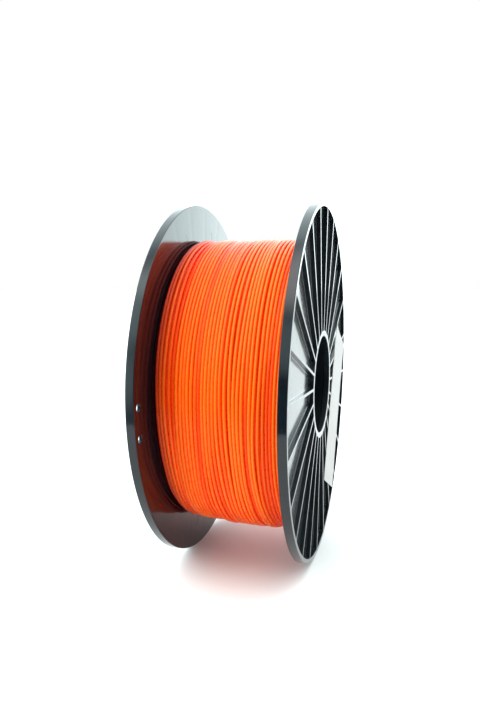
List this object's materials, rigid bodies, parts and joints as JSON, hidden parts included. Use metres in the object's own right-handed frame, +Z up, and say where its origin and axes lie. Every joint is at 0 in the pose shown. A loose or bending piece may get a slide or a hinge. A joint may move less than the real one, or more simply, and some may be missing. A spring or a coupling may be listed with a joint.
{
  "type": "filament spool",
  "caption": "Loaded filament spool: two round ribbed flanges on a drum with a plain bore, wound with orange plastic strand, blank label on one side.",
  "frame": {"origin": "on the floor, midway between the flanges, straight below the spool's axis (bottom centre of the box)", "axes": "+X along the spool's axis, out of the flange with the label; +Z up; +Y away from the side with the free pair of filament holes"},
  "size_m": [0.0765, 0.2, 0.2],
  "materials": {
    "flange_plastic": "glossy black moulded polystyrene",
    "core_plastic": "glossy black moulded polystyrene",
    "filament": "smooth bright orange filament, 1.75 mm",
    "label_paper": "blank white sticker, satin paper"
  },
  "bodies": {
    "root": {"flange_label_side": "flange_plastic", "flange_hole_side": "flange_plastic", "winding_barrel": "core_plastic", "bore_sleeve": "core_plastic", "filament_winding": "filament", "filament_tail": "filament", "filament_start": "filament", "label": "label_paper"}
  },
  "joints": []
}
